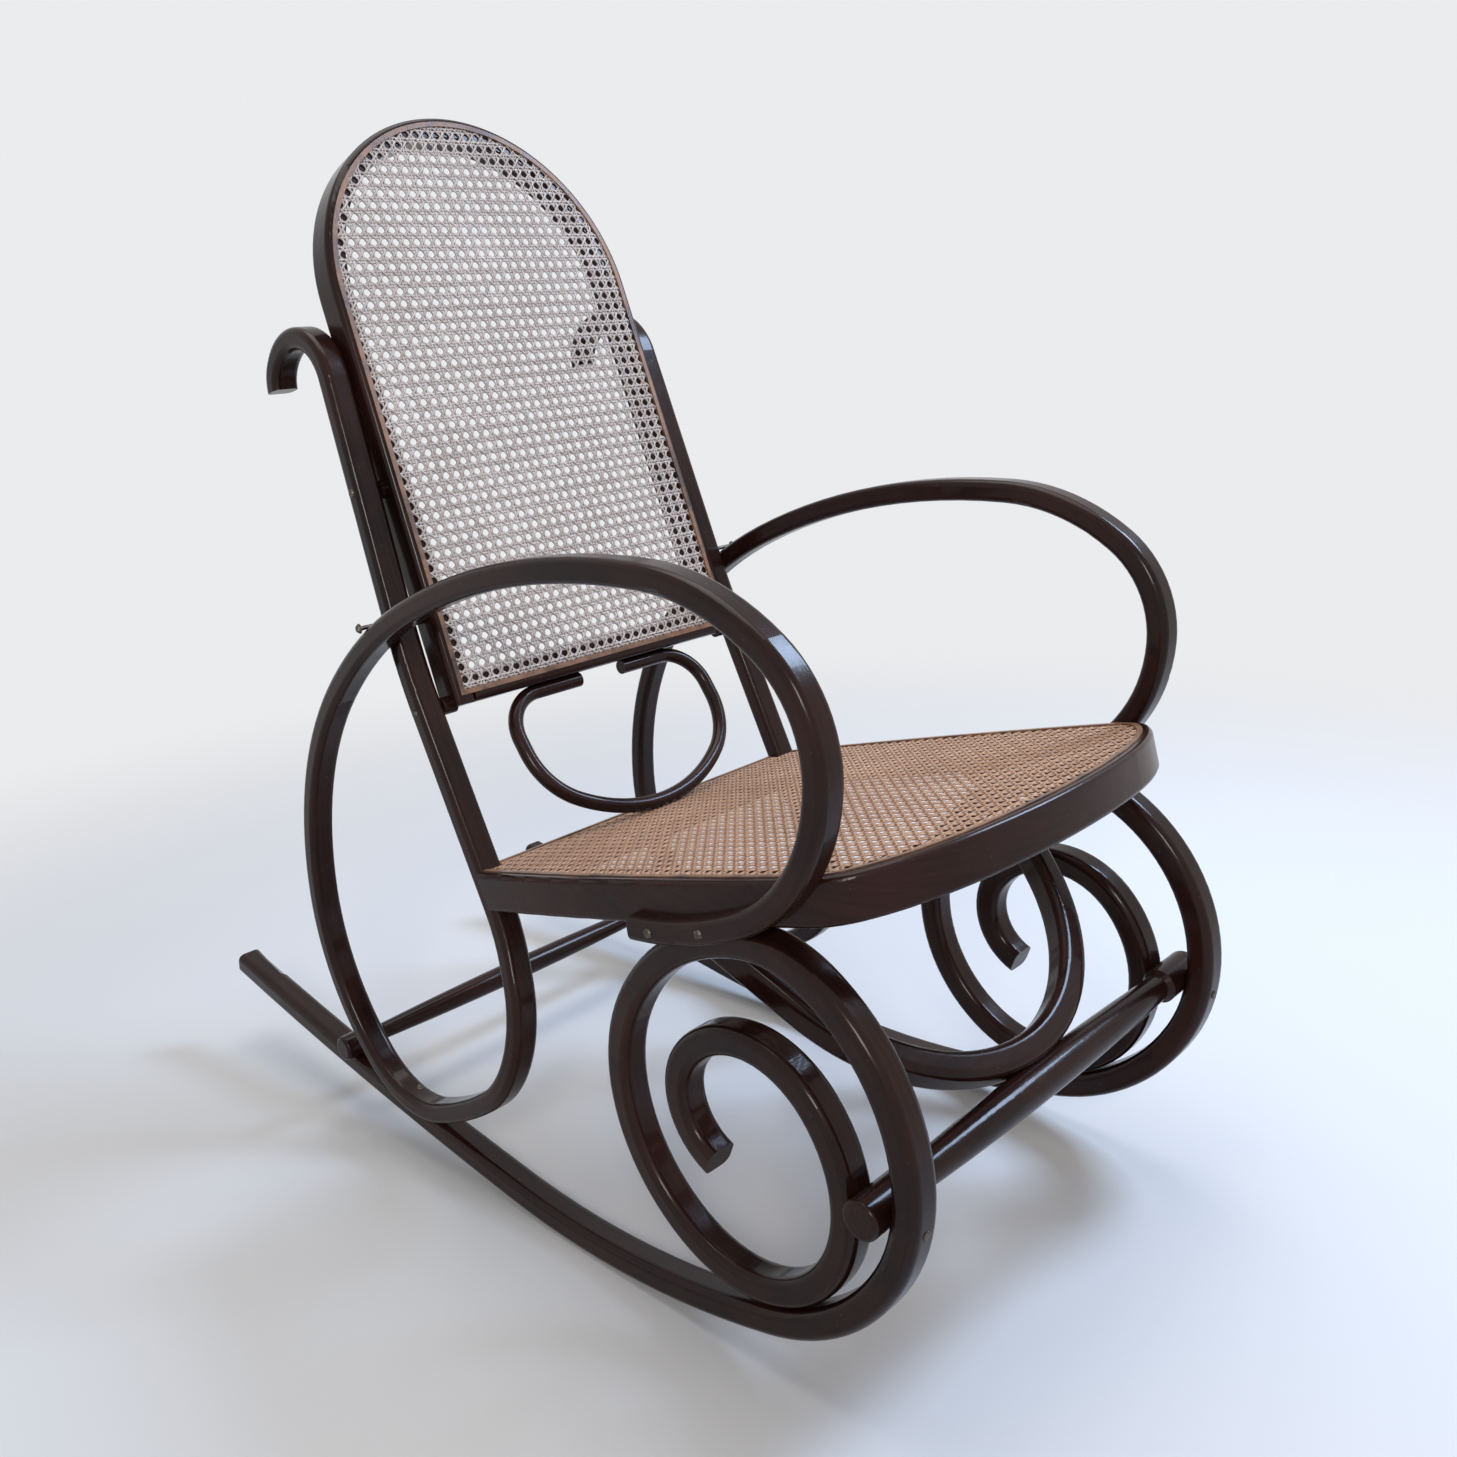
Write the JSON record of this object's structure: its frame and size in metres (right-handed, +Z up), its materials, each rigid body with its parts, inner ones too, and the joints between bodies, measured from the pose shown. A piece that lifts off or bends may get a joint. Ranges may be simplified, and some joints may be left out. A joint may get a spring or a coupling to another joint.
{
  "type": "rocking chair",
  "caption": "Bentwood rocking chair with scrolled runners, looped arms, and a woven cane seat and arched cane back.",
  "frame": {"origin": "on the floor under the middle of the box round the chair, standing at rest", "axes": "+X to the sitter's left, +Y to the rear (the chair faces -Y), +Z up"},
  "size_m": [0.5212, 1.0911, 1.0885],
  "materials": {
    "dark_wood": "very dark brown gloss lacquer over steam-bent beech",
    "raw_wood": "unfinished beech dowels inside the joints",
    "back_cane": "satin woven rattan cane, greyish beige",
    "seat_cane": "satin woven rattan cane, warm tan",
    "cane_bead": "reed bead glued into the groove, orange brown",
    "screw_steel": "steel wood screws, lacquered over with the frame"
  },
  "bodies": {
    "root": {"arm_loop_left": "dark_wood", "arm_loop_right": "dark_wood", "arm_screws": "screw_steel", "back_cane": "back_cane", "back_dowels": "raw_wood", "back_hoop": "dark_wood", "back_rail": "dark_wood", "back_spline": "cane_bead", "brace_screw": "screw_steel", "crossing_screws": "screw_steel", "deco_loop": "dark_wood", "front_stretcher": "dark_wood", "front_stretcher_screws": "screw_steel", "hoop_brace": "dark_wood", "loop_runner_screws": "screw_steel", "post_back_screws": "screw_steel", "post_spacers": "dark_wood", "rear_stretcher": "dark_wood", "rear_stretcher_screws": "screw_steel", "runner_scroll_left": "dark_wood", "runner_scroll_right": "dark_wood", "scroll_seat_screws": "screw_steel", "seat_cane": "seat_cane", "seat_dowels": "raw_wood", "seat_hoop": "dark_wood", "seat_rear_rail": "dark_wood", "seat_spline": "cane_bead"}
  },
  "joints": []
}
